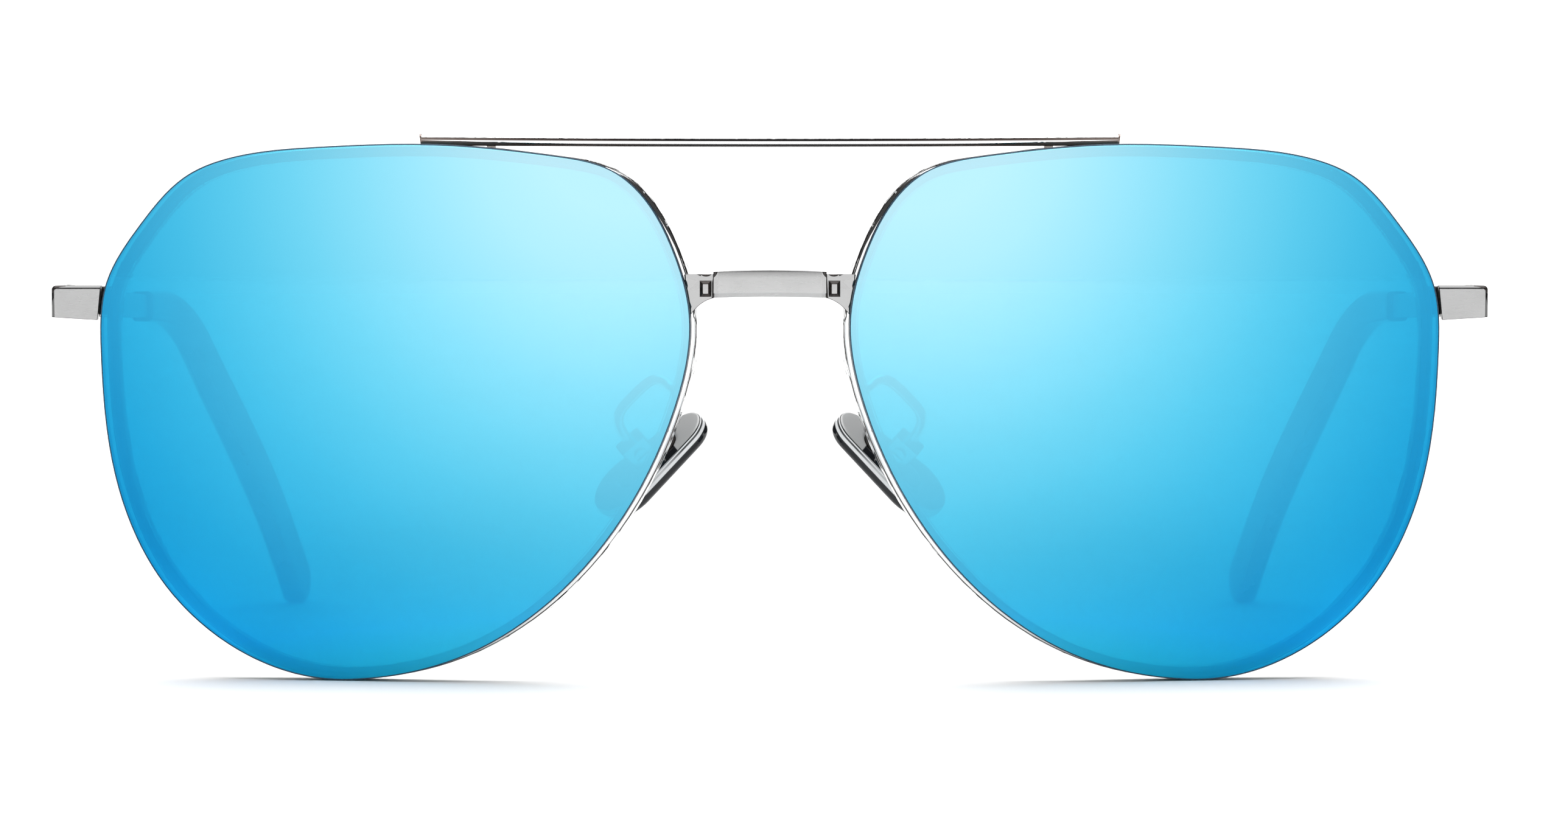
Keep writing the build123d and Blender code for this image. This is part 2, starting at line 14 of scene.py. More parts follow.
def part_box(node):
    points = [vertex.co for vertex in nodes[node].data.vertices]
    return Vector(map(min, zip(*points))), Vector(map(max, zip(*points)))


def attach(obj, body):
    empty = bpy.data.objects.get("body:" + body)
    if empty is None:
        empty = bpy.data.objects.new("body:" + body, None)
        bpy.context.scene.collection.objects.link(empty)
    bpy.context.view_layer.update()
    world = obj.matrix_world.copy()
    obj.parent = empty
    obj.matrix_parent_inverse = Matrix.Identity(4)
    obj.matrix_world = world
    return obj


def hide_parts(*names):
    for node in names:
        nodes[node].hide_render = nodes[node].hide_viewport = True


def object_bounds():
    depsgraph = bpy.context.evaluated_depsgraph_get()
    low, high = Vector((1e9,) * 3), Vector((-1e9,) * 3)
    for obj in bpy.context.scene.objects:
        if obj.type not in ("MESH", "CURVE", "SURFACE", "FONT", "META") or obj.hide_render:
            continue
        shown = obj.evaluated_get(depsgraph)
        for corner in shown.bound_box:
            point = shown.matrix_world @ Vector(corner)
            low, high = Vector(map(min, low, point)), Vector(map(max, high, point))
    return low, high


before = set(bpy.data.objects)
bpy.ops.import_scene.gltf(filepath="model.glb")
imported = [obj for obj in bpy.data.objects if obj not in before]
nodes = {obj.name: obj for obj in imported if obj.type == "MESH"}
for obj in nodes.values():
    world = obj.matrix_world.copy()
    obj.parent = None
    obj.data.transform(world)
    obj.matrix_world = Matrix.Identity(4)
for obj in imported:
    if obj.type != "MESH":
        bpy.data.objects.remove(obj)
cad_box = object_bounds()
MM = 0.001
SIDES = {"right": 1, "left": -1}
SAME_PLACE = 0.002 * MM  # vertices nearer than this are one


# ---- short ways to write node trees --------------------------------------------------------
class Nodes:
    """Adds nodes to one tree and joins them up."""

    def __init__(self, tree):
        self.tree = tree
        self.tree.nodes.clear()

    def fill(self, node, inputs):
        for key, value in inputs.items():
            if isinstance(value, bpy.types.NodeSocket):
                self.tree.links.new(value, node.inputs[key])
            else:
                node.inputs[key].default_value = value

    def add(self, kind, inputs=None, **settings):
        node = self.tree.nodes.new(kind)
        for key, value in settings.items():
            setattr(node, key, value)
        self.fill(node, inputs or {})
        return node

    def math(self, operation, first, second=0.0):
        inputs = {0: first, 1: second}
        return self.add("ShaderNodeMath", inputs, operation=operation).outputs[0]

    def vector(self, operation, first, second=(0, 0, 0)):
        inputs = {0: first, 1: second}
        return self.add("ShaderNodeVectorMath", inputs, operation=operation)

    def scaled(self, vector, factor):
        inputs = {0: vector, "Scale": factor}
        return self.add("ShaderNodeVectorMath", inputs, operation="SCALE").outputs[0]

    def span(self, value, low, high, to_low=0.0, to_high=1.0, smooth=False):
        """value from low..high to to_low..to_high, held at the ends."""
        kind = "SMOOTHSTEP" if smooth else "LINEAR"
        inputs = {
            "Value": value,
            "From Min": low,
            "From Max": high,
            "To Min": to_low,
            "To Max": to_high,
        }
        return self.add("ShaderNodeMapRange", inputs, interpolation_type=kind).outputs[0]

    def ramp(self, value, stops):
        node = self.add("ShaderNodeValToRGB", {"Fac": value})
        elements = node.color_ramp.elements
        while len(elements) < len(stops):
            elements.new(0.5)
        for element, (place, colour) in zip(elements, stops):
            element.position = place
            element.color = (*colour, 1)
        return node.outputs["Color"]

    def mix_colour(self, share, first, second):
        node = self.add("ShaderNodeMix", data_type="RGBA")
        self.fill(node, {0: share, 6: first, 7: second})
        return node.outputs[2]

    def normal(self):
        """X, Y and Z of the surface's normal, in the object's own axes."""
        out = self.add("ShaderNodeTexCoord").outputs["Normal"]
        return self.add("ShaderNodeSeparateXYZ", {0: out}).outputs

    def principled(self, inputs):
        return self.add("ShaderNodeBsdfPrincipled", inputs).outputs[0]

    def blend(self, share, first, second):
        """Two shaders: the first where share is 0, and the second where it is 1."""
        return self.add("ShaderNodeMixShader", {0: share, 1: first, 2: second}).outputs[0]

    def put_out(self, shader):
        self.add("ShaderNodeOutputMaterial", {"Surface": shader})


def millimetres(made):
    """Each point of the object in millimetres."""
    place = made.add("ShaderNodeTexCoord").outputs["Object"]
    return made.vector("MULTIPLY", place, (1 / MM, 1 / MM, 1 / MM)).outputs[0]


def coordinates(made):
    """X, Y and Z in millimetres."""
    return made.add("ShaderNodeSeparateXYZ", {0: millimetres(made)}).outputs


def noise(made, place, scale, detail=3.0, stretch=(1, 1, 1)):
    """Noise with about `scale` lumps to the millimetre, drawn out where stretch is small."""
    drawn = made.vector("MULTIPLY", place, stretch).outputs[0]
    inputs = {"Vector": drawn, "Scale": scale, "Detail": detail}
    return made.add("ShaderNodeTexNoise", inputs).outputs[0]


def bump(made, height, depth):
    """Relief as deep as `depth` millimetres."""
    inputs = {"Height": height, "Distance": depth * MM, "Strength": 1.0}
    return made.add("ShaderNodeBump", inputs).outputs[0]


def new_material(name):
    material = bpy.data.materials.new(name)
    material.use_nodes = True
    return material, Nodes(material.node_tree)


def plain(name, finish, *settings):
    """A material of one finish all over."""
    material, made = new_material(name)
    made.put_out(finish(made, *settings))
    return material


def grey(level):
    return (level, level, level)


def greys(stops):
    """A ramp's stops from pairs of place and brightness."""
    return [(place, grey(level)) for place, level in stops]


# ---- finishes of the metal -----------------------------------------------------------------
def polished(made, level, low=0.02, high=0.06):
    """Bright plating: a mirror with faint polishing lines and a slightly uneven shine."""
    place = millimetres(made)
    haze = noise(made, place, 0.35)
    lines = noise(made, place, 5.0, detail=1.0, stretch=(0.05, 1, 1))
    dull, bright = (*grey(level * 0.97), 1), (*grey(level), 1)
    return made.principled(
        {
            "Base Color": made.mix_colour(haze, dull, bright),
            "Metallic": 1.0,
            "Roughness": made.span(haze, 0.3, 0.7, low, high),
            "Normal": bump(made, lines, 0.0002),
        }
    )


def satin(made, level, grain, low=0.26, high=0.36, shade=1.0):
    """Brushed silver with its grain along one axis."""
    place = millimetres(made)
    stretch = [0.06 if axis == grain else 1.0 for axis in "XYZ"]
    lines = noise(made, place, 14.0, detail=2.0, stretch=stretch)
    patches = noise(made, place, 0.4)
    tone = made.span(made.math("ADD", lines, patches), 0.7, 1.3, 0.95, 1.03)
    return made.principled(
        {
            "Base Color": made.scaled(grey(level), made.math("MULTIPLY", tone, shade)),
            "Metallic": 1.0,
            "Roughness": made.span(lines, 0.3, 0.7, low, high),
            "Normal": bump(made, lines, 0.0015),
        }
    )


def dull_dark_metal(made, colour=None):
    """Dark dull metal, used to paint dark reflections and shade on the polished parts, and for the
    pads' inserts.
    """
    lumps = noise(made, millimetres(made), 3.0, detail=4.0)
    dark = made.ramp(lumps, [(0.3, (0.012, 0.010, 0.010)), (0.7, (0.045, 0.038, 0.035))])
    return made.principled(
        {
            "Base Color": colour or dark,
            "Metallic": 0.6,
            "Roughness": made.span(lumps, 0.3, 0.7, 0.3, 0.45),
            "Normal": bump(made, lumps, 0.004),
        }
    )


def solder(made):
    """Silver solder, filed smooth: slightly lumpy and a little brown from the heat."""
    lumps = noise(made, millimetres(made), 1.6, detail=4.0)
    return made.principled(
        {
            "Base Color": made.ramp(lumps, [(0.3, (0.16, 0.13, 0.12)), (0.7, (0.36, 0.32, 0.30))]),
            "Metallic": 1.0,
            "Roughness": made.span(lumps, 0.3, 0.7, 0.22, 0.42),
            "Normal": bump(made, lumps, 0.03),
        }
    )


def rounded_edge(made):
    """1 where the surface faces between the axes of the frame, as a rounded edge does."""
    x, y, z = [made.math("ABSOLUTE", part) for part in made.normal()]
    most = made.math("MAXIMUM", made.math("MAXIMUM", x, y), z)
    return made.span(most, 0.94, 0.97, 1.0, 0.0)


def painted_shade_up_down(made):
    """1 on the sides, and less on faces that look up or down: painted shade on those faces."""
    z = made.normal()[2]
    return made.span(made.math("ABSOLUTE", z), 0.6, 0.85, 1.0, 0.42)


# ---- metal parts ---------------------------------------------------------------------------
PLATING = 0.84  # brightness of the rims and the brow bar
BAND_STARTS, BAND_ENDS = (-0.66, -0.56), (-0.34, -0.24)  # Y of the normal round the rims' band of painted dark reflection

BAR_MIDDLE_Z, BAR_RISE = 55.88, 0.2  # height of the bar's axis, and how far its ends rise
BAR_UNDER = (-0.27, 0.0)  # top of its painted dark underside above its axis, in the middle and at the ends
BAR_LINE, BAR_LINE_HALF = 0.12, 0.10  # the painted dark line along its front, above its axis
BAR_SOFT = 0.03
BAR_COLLAR_X = 35.74
BAR_BROWN = (  # colours of its painted dark reflections, by the square of the share of the way to its ends
    (0.05, (0.012, 0.010, 0.010)),
    (0.50, (0.095, 0.072, 0.064)),
    (0.80, (0.24, 0.19, 0.17)),
)

BRIDGE_HEIGHTS = (39.9, 42.72)
BRIDGE_SHADE = ((0.0, 1.0), (0.72, 0.92), (0.9, 0.62), (1.0, 0.12))  # painted shade, darker towards its top, by share of its height
BRIDGE_NECK = (5.25, 5.45)  # X where the satin bar turns into the polished neck
# the scoop at the top of each neck, which gets painted shade
SCOOP_MIDDLE, SCOOP_R = (6.55, -68.3, 42.95), 1.34
BLOCK_X = 5.7  # the neck's block is outside this; its rounded edges get painted dark reflections

LUG_Y, LUG_X = -58.05, 71.2  # the lug, with painted shade, is behind and inside these
CORNER_X, CORNER_Z = (73.2, 74.7), (40.3, 41.1)  # the outer top corner of the endpiece, which gets painted shade


def rim_material():
    """The rims: polished wire, with a painted dark reflection where it turns away at its outer and
    inner edges.
    """
    material, made = new_material("rim_silver")
    y = made.normal()[1]
    # painted dark reflection on the wire where it turns partly away from the front
    band = made.math("MULTIPLY", made.span(y, *BAND_STARTS), made.span(y, *BAND_ENDS, 1.0, 0.0))
    made.put_out(made.blend(band, polished(made, PLATING), dull_dark_metal(made)))
    return material


def bar_material():
    """The brow bar: polished, with a painted dark reflection as a line along its front and on its
    underside, and dark at its collars by its ends.
    """
    material, made = new_material("brow_bar_silver")
    _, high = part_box("brow_bar")
    x, _, z = coordinates(made)
    along = made.math("DIVIDE", x, high.x / MM)
    squared = made.math("MULTIPLY", along, along)
    axis = made.math("ADD", made.math("MULTIPLY", squared, BAR_RISE), BAR_MIDDLE_Z)
    above = made.math("SUBTRACT", z, axis)
    edge = made.span(squared, 0.45, 1.0, *BAR_UNDER)
    under = made.span(made.math("SUBTRACT", edge, above), -BAR_SOFT, BAR_SOFT)
    off_line = made.math("ABSOLUTE", made.math("SUBTRACT", above, BAR_LINE))
    line = made.span(off_line, BAR_LINE_HALF, BAR_LINE_HALF + BAR_SOFT, 1.0, 0.0)
    collar = made.math("GREATER_THAN", made.math("ABSOLUTE", x), BAR_COLLAR_X)
    # painted dark reflection on the underside and as the line along the front; the collars are dark
    # as well
    dark = made.math("MAXIMUM", made.math("MAXIMUM", under, line), collar)
    dark_brown_metal = dull_dark_metal(made, made.ramp(squared, BAR_BROWN))
    made.put_out(made.blend(dark, polished(made, PLATING), dark_brown_metal))
    return material


def bridge_material():
    """The bridge: satin along the bar, with painted shade towards its top, and polished at its
    necks, with painted shade in their scoops and painted dark reflections on their blocks' rounded
    edges.
    """
    material, made = new_material("bridge_silver")
    x, y, z = coordinates(made)
    shade = made.ramp(made.span(z, *BRIDGE_HEIGHTS), greys(BRIDGE_SHADE))
    brushed = satin(made, level=0.46, grain="X", shade=shade)
    outwards = made.math("ABSOLUTE", x)
    mirrored = made.add("ShaderNodeCombineXYZ", {0: outwards, 1: y, 2: z}).outputs[0]
    from_scoop = made.vector("DISTANCE", mirrored, SCOOP_MIDDLE).outputs["Value"]
    scoop = made.math("LESS_THAN", from_scoop, SCOOP_R)
    outside = made.math("GREATER_THAN", outwards, BLOCK_X)
    block = made.math("MULTIPLY", rounded_edge(made), outside)
    # painted shade in the scoops and painted dark reflections on the blocks' rounded edges
    dark = made.math("MAXIMUM", scoop, block)
    necks = made.blend(dark, polished(made, level=0.40), dull_dark_metal(made))
    made.put_out(made.blend(made.span(outwards, *BRIDGE_NECK), brushed, necks))
    return material


def endpiece_material():
    """The endpiece: satin, with painted shade on its set back lug, its outer top corner, its
    rounded edges and its faces that look up or down.
    """
    material, made = new_material("endpiece_silver")
    x, y, z = coordinates(made)
    outwards = made.math("ABSOLUTE", x)
    behind = made.math("GREATER_THAN", y, LUG_Y)
    lug = made.math("MULTIPLY", behind, made.math("LESS_THAN", outwards, LUG_X))
    past_x, past_z = made.span(outwards, *CORNER_X), made.span(z, *CORNER_Z)
    past = made.add("ShaderNodeCombineXYZ", {0: past_x, 2: past_z}).outputs[0]
    reach = made.span(made.vector("LENGTH", past).outputs["Value"], 0.84, 0.90)
    inside = made.math("GREATER_THAN", made.math("MINIMUM", past_x, past_z), 0.02)
    # painted shade on the lug and the outer top corner
    dark = made.math("MAXIMUM", lug, made.math("MULTIPLY", reach, inside))
    brushed = satin(made, level=0.39, grain="X", shade=painted_shade_up_down(made))
    # painted shade on the rounded edges, as a dark polished finish
    dark_rounded_edges = made.blend(rounded_edge(made), brushed, polished(made, level=0.12))
    made.put_out(made.blend(dark, dark_rounded_edges, dull_dark_metal(made)))
    return material


def temple_material():
    """The temples: satin along their length, with painted shade on their narrow faces that look up
    and down.
    """
    material, made = new_material("satin_silver_along")
    made.put_out(satin(made, level=0.42, grain="Y", shade=painted_shade_up_down(made)))
    return material


def hinge_material():
    """The hinge leaves: satin, with painted shade on their ends, which look up and down."""
    material, made = new_material("hinge_silver")
    shade = painted_shade_up_down(made)
    made.put_out(satin(made, level=0.36, grain="Z", low=0.3, high=0.42, shade=shade))
    return material


# ---- lenses --------------------------------------------------------------------------------
LENS_RADIUS = 130.0 * MM
LENS_WRAP, LENS_TILT = 8, 6
LENS_MIDDLE = Vector((38.6, -67.0, 28.35)) * MM
LENS_IOR = 1.5
PALEST_IN, PALEST_UP = 7, 2  # the palest point, from the nose side of the lens and from its top
# Colours that the coating shows in a white studio. It is painted paler near its palest point:
# partly the coating's own blue, partly a painted reflection of the studio's light.
PALEST = (0.52, 0.92, 1.06)
DEEPEST = (0.011, 0.335, 0.66)
COATING_FROM, COATING_TO = 9, 66  # mm from the palest point
PALE_STRETCH = 1.5  # above 1, the pale stretch is the longer one
# The lens mirrors its own shadow near the floor, so its colour is painted brighter there, a painted
# highlight
GLOW = 1.6  # how much brighter at the floor
GLOW_TOP = 18  # mm above the floor
GLOW_FADE = 2.2  # above 1, it fades sooner near the floor
LENS_STOPS = 10
COATING_SHARE = 0.7  # what the coating reflects; the rest goes through
COATING_DEPTH = 0.04 * MM  # only points this near the front surface are coated
STUDIO_LIGHT = 1.5  # brightness of the white studio that the lens faces
SEEN_THROUGH = (0.02, 0.50, 0.58, 1)
SMOKE = (0.36, 0.38, 0.42, 1)


def lens_centre(side):
    """Centre of the lens's front curve."""
    out = Vector((0, -1, 0))
    out.rotate(Matrix.Rotation(radians(LENS_WRAP), 3, "Z"))
    out.rotate(Matrix.Rotation(radians(LENS_TILT), 3, "X"))
    centre = LENS_MIDDLE - out * LENS_RADIUS
    return Vector((centre.x * side, centre.y, centre.z))


def lens_shares():
    """Even steps from 0 to 1, for the ramps of the coating."""
    return [step / (LENS_STOPS - 1) for step in range(LENS_STOPS)]


def coating_stops():
    """The coating's colours, painted reflection included, with the studio and what shows through
    taken off.
    """
    stops = []
    for far in lens_shares():
        own = []
        for pale, deep, passed, smoke in zip(PALEST, DEEPEST, SEEN_THROUGH, SMOKE):
            shown = pale * (deep / pale) ** (far**PALE_STRETCH)
            behind = (1 - COATING_SHARE) * passed * smoke * STUDIO_LIGHT
            own.append(max(shown - behind, 0.0) / (COATING_SHARE * STUDIO_LIGHT))
        stops.append((far, own))
    return stops


def glow_stops():
    """How bright the lens's colour is painted by its height, as shares of the brightness at the
    floor.
    """
    return [(up, (1 + GLOW * (1 - up) ** GLOW_FADE) / (1 + GLOW)) for up in lens_shares()]


def coating_colour(made, lens, side):
    """Pale at the top of the nose side, and deeper blue with the distance from there: partly the
    coating's own blue, partly a painted reflection of the studio's light. Painted brighter near the
    floor.
    """
    low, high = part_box(lens)
    nasal = low.x if side > 0 else high.x
    palest = Vector((nasal + side * PALEST_IN * MM, 0, high.z + PALEST_UP * MM))
    place = made.add("ShaderNodeTexCoord").outputs["Object"]
    away = made.vector("SUBTRACT", place, palest).outputs[0]
    level = made.vector("MULTIPLY", away, (1 / MM, 0, 1 / MM)).outputs[0]
    distance = made.vector("LENGTH", level).outputs["Value"]
    tint = made.ramp(made.span(distance, COATING_FROM, COATING_TO), coating_stops())

    # painted highlight: the colour is made brighter near the floor, over the shadow that the lens
    # mirrors
    height = made.span(coordinates(made)[2], 0, GLOW_TOP)
    glow = made.ramp(height, greys(glow_stops()))
    return made.scaled(made.vector("MULTIPLY", tint, glow).outputs[0], 1 + GLOW)


def lens_material(side_name, side):
    """Blue flash mirror on the front of a smoke tinted lens."""
    material, made = new_material(f"mirror_lens_{side_name}")
    film = noise(made, millimetres(made), 0.05, detail=1.0)
    coating = made.principled(
        {
            "Base Color": coating_colour(made, f"lens_{side_name}", side),
            "Metallic": 1.0,
            "Roughness": made.span(film, 0.3, 0.7, 0.03, 0.06),
        }
    )
    through = made.add("ShaderNodeBsdfTransparent", {"Color": SEEN_THROUGH}).outputs[0]
    front = made.blend(1 - COATING_SHARE, coating, through)

    smoke = made.add("ShaderNodeBsdfTransparent", {"Color": SMOKE}).outputs[0]
    gloss = made.principled(
        {"Base Color": (0.02, 0.05, 0.07, 1), "Roughness": 0.05, "IOR": LENS_IOR}
    )
    shine = made.add("ShaderNodeFresnel", {"IOR": LENS_IOR}).outputs[0]
    body = made.blend(shine, smoke, gloss)

    place = made.add("ShaderNodeTexCoord").outputs["Object"]
    out = made.vector("DISTANCE", place, lens_centre(side)).outputs["Value"]
    on_front = made.math("GREATER_THAN", out, LENS_RADIUS - COATING_DEPTH)
    made.put_out(made.blend(on_front, body, front))
    return material


def edge_material():
    """Dark blue ground glass edge."""
    material, made = new_material("lens_edge_dark")
    grind = noise(made, millimetres(made), 6.0)
    blues = [(0.3, (0.004, 0.03, 0.06)), (0.7, (0.010, 0.06, 0.11))]
    shader = made.principled(
        {
            "Base Color": made.ramp(grind, blues),
            "Roughness": made.span(grind, 0.3, 0.7, 0.25, 0.4),
            "IOR": LENS_IOR,
        }
    )
    made.put_out(shader)
    return material


# ---- temple tips and nose pads -------------------------------------------------------------
PAD_SPLAY, PAD_LEAN = 28, 48
PAD_MIDDLE = Vector((12.9, -56.6, 22.9)) * MM
PAD_TOP_R, PAD_BOTTOM_R, PAD_LENGTH, PAD_THICK = 2.6, 4.0, 14.5, 2.2
PAD_PLATE_END = 3.2  # the frosted plate in its back ends this far above its middle; below it the back has painted shade
PAD_BACK = 0.12  # its back is up to here
PAD_PAINTED_RIM = (0.40, 0.43)  # share of its thickness where the painted dark reflection round its outer wall starts
# how dark the painted reflection lines on its wall are, by share of its thickness from the back
PAD_LINES = (
    (0.03, 1.0),
    (0.09, 1.0),
    (0.11, 0.0),
    (0.15, 0.0),
    (0.17, 1.0),
    (0.24, 0.9),
    (0.27, 0.0),
    (1.00, 0.0),
)
PAD_LINES_FADE = (0.5, 3.5, 0.35, 1.0)  # the painted lines fade from the first height to the second, and how far


def tip_material():
    """Dark acetate, polished, with a faint cloud in it."""
    material, made = new_material("tip_acetate")
    place = millimetres(made)
    cloud = noise(made, place, 0.12, detail=5.0, stretch=(1, 0.4, 1))
    skin = noise(made, place, 2.2, detail=3.0)
    blacks = [(0.25, (0.008, 0.009, 0.011)), (0.75, (0.026, 0.027, 0.031))]
    shader = made.principled(
        {
            "Base Color": made.ramp(cloud, blacks),
            "Roughness": made.span(skin, 0.3, 0.7, 0.16, 0.26),
            "IOR": 1.49,
            "Specular IOR Level": 0.35,
            "Coat Weight": 0.15,
            "Coat Roughness": 0.08,
            "Normal": bump(made, skin, 0.004),
        }
    )
    made.put_out(shader)
    return material


def pad_frame():
    """Axes of the right-hand pad: across it, along it, and out of its nose side."""
    axes = []
    for axis in ((0, -1, 0), (-1, 0, 0)):
        turned = Vector(axis)
        turned.rotate(Matrix.Rotation(radians(-PAD_SPLAY), 3, "Z"))
        turned.rotate(Matrix.Rotation(radians(-PAD_LEAN), 3, "Y"))
        axes.append(turned)
    across, out = axes
    return across, out.cross(across), out


def pad_material():
    """Clear silicone over its insert, with a painted dark reflection round its outer wall, painted
    dark lines along it, and painted shade low on its back.
    """
    material, made = new_material("pad_silicone_clear")
    _, along, out = pad_frame()
    x, y, z = coordinates(made)
    mirrored = made.add("ShaderNodeCombineXYZ", {0: made.math("ABSOLUTE", x), 1: y, 2: z})
    away = made.vector("SUBTRACT", mirrored.outputs[0], PAD_MIDDLE / MM).outputs[0]
    depth = made.vector("DOT_PRODUCT", away, out).outputs["Value"]
    height = made.vector("DOT_PRODUCT", away, along).outputs["Value"]
    ripple = noise(made, millimetres(made), 1.1, detail=2.0)
    surface = {
        "Roughness": made.span(ripple, 0.3, 0.7, 0.05, 0.12),
        "IOR": 1.41,
        "Normal": bump(made, ripple, 0.01),
    }
    # nearly white: partly the silicone's own milky colour, partly painted highlights between the
    # painted dark lines
    pale = {"Base Color": (0.97, 0.98, 0.99, 1), "Transmission Weight": 0.22}
    clear = made.principled({**pale, **surface})
    black = made.principled({"Base Color": (0.006, 0.007, 0.009, 1), **surface})
    frosted = made.principled({"Base Color": (0.40, 0.40, 0.40, 1), **surface})

    share = made.math("DIVIDE", depth, PAD_THICK)
    lines = made.ramp(share, greys(PAD_LINES))
    fading = made.math("MULTIPLY", lines, made.span(height, *PAD_LINES_FADE))
    # painted dark reflections: the lines and the rim round the outer wall
    dark = made.math("MAXIMUM", fading, made.span(share, *PAD_PAINTED_RIM))
    wall = made.blend(dark, clear, black)
    # painted shade on the back below the plate
    low = made.span(height, PAD_PLATE_END - 0.1, PAD_PLATE_END, 1.0, 0.0)
    rear = made.blend(low, frosted, black)
    made.put_out(made.blend(made.math("LESS_THAN", depth, PAD_BACK), wall, rear))
    return material


# ---- pieces --------------------------------------------------------------------------------
BEAD_POINTS, BEAD_SIDES, BEAD_R = 420, 8, 0.07
POCKET_R, POCKET_HALF, POCKET_DEPTH = 1.75, 2.1, 0.53
POCKET_TAPER = 0.001  # its lower end is wider by this
PAD_AROUND = 96
ARC_POINTS = 720
# The pad's rows, from the pocket's floor round its edge to the middle of its face. Pocket rows
# are across and along it in shares of its outline, and height. Edge rows are how far inside
# the outline, and height. Face rows are shares of the outline.
POCKET_ROWS = ((0.55, 0.72, POCKET_DEPTH), (1, 1, POCKET_DEPTH), (1, 1, 0.08), (1.05, 1.02, 0))
EDGE_ROWS = (
    (0.42, 0.00),
    (0.16, 0.06),
    (0.05, 0.19),
    (0.00, 0.42),
    (0.00, 0.92),
    (-0.05, 1.02),
    (0.00, 1.12),
    (0.03, 1.35),
    (0.12, 1.62),
    (0.30, 1.86),
    (0.60, 2.03),
    (1.00, 2.12),
)
FACE_ROWS = (0.55, 0.3, 0.12)


def dress(name, material, edge=0.0):
    """Gives a CAD node one material, and rounds its sharp edges by so many millimetres."""
    node = nodes[name]
    for place in node.material_slots:
        place.link = "OBJECT"
        place.material = material
    if edge:
        weld = node.modifiers.new("weld", "WELD")
        weld.merge_threshold = SAME_PLACE
        bevel = node.modifiers.new("round", "BEVEL")
        bevel.width = edge * MM
        bevel.segments = 3
        bevel.limit_method = "ANGLE"
        bevel.angle_limit = radians(35)
        bevel.use_clamp_overlap = False
        normals = node.modifiers.new("normals", "WEIGHTED_NORMAL")
        normals.keep_sharp = False


def new_piece(name, made, material):
    """An object made from a bmesh, smooth shaded."""
    bmesh.ops.recalc_face_normals(made, faces=made.faces)
    mesh = bpy.data.meshes.new(name)
    made.to_mesh(mesh)
    made.free()
    for face in mesh.polygons:
        face.use_smooth = True
    mesh.materials.append(material)
    piece = bpy.data.objects.new(name, mesh)
    bpy.context.scene.collection.objects.link(piece)
    return piece


def join_rings(made, lower, upper):
    """A band of faces between two closed rings of as many vertices."""
    for i in range(len(lower)):
        j = (i + 1) % len(lower)
        made.faces.new((lower[i], lower[j], upper[j], upper[i]))


def evenly(loop, count):
    """count points at equal distances round a closed loop."""
    closed = loop + [loop[0]]
    lengths = [0.0]
    for a, b in zip(closed, closed[1:]):
        lengths.append(lengths[-1] + (b - a).length)
    found, k = [], 0
    for i in range(count):
        wanted = lengths[-1] * i / count
        while lengths[k + 1] < wanted:
            k += 1
        part = (wanted - lengths[k]) / (lengths[k + 1] - lengths[k])
        found.append(closed[k].lerp(closed[k + 1], part))
    return found


def front_edge(side_name, side):
    """The closed loop of points where the front of a lens meets its edge."""
    centre = lens_centre(side)
    made = bmesh.new()
    made.from_mesh(nodes[f"lens_{side_name}"].data)
    bmesh.ops.remove_doubles(made, verts=made.verts, dist=SAME_PLACE)
    following = {}
    for edge in made.edges:
        if len(edge.link_faces) != 2 or edge.calc_face_angle() < radians(40):
            continue
        a, b = edge.verts
        if max(abs((v.co - centre).length - LENS_RADIUS) for v in (a, b)) < 0.05 * MM:
            following.setdefault(a, []).append(b)
            following.setdefault(b, []).append(a)
    start = here = next(iter(following))
    before, loop = None, []
    while True:
        loop.append(here.co.copy())
        ahead = [v for v in following[here] if v is not before]
        before, here = here, ahead[0]
        if here is start:
            break
    made.free()
    return loop


def lens_bead(side_name, side, material):
    """The ground and darkened edge of a lens, a fine bead round its front."""
    centre = lens_centre(side)
    loop = evenly(front_edge(side_name, side), BEAD_POINTS)
    made = bmesh.new()
    rings = []
    for i, point in enumerate(loop):
        along = (loop[(i + 1) % len(loop)] - loop[i - 1]).normalized()
        out = (point - centre).normalized()
        wide = along.cross(out)
        ring = []
        for k in range(BEAD_SIDES):
            angle = 2 * pi * k / BEAD_SIDES
            spot = point + (wide * cos(angle) + out * sin(angle)) * BEAD_R * MM
            ring.append(made.verts.new(spot))
        rings.append(ring)
    for lower, upper in zip(rings, rings[1:] + rings[:1]):
        join_rings(made, lower, upper)
    bead = new_piece(f"lens_edge_{side_name}", made, material)
    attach(bead, "front")


def hull_ring(top_r, bottom_r, top_v, bottom_v):
    """PAD_AROUND points evenly round the hull of two circles, one above the other."""
    lean = asin((bottom_r - top_r) / (top_v - bottom_v))
    arcs = (
        (top_r, top_v, lean, pi - lean),
        (bottom_r, bottom_v, pi - lean, 2 * pi + lean),
    )
    raw = []
    for radius, middle, start, end in arcs:
        for i in range(ARC_POINTS + 1):
            angle = start + (end - start) * i / ARC_POINTS
            raw.append(Vector((radius * cos(angle), middle + radius * sin(angle))))
    return evenly(raw, PAD_AROUND)


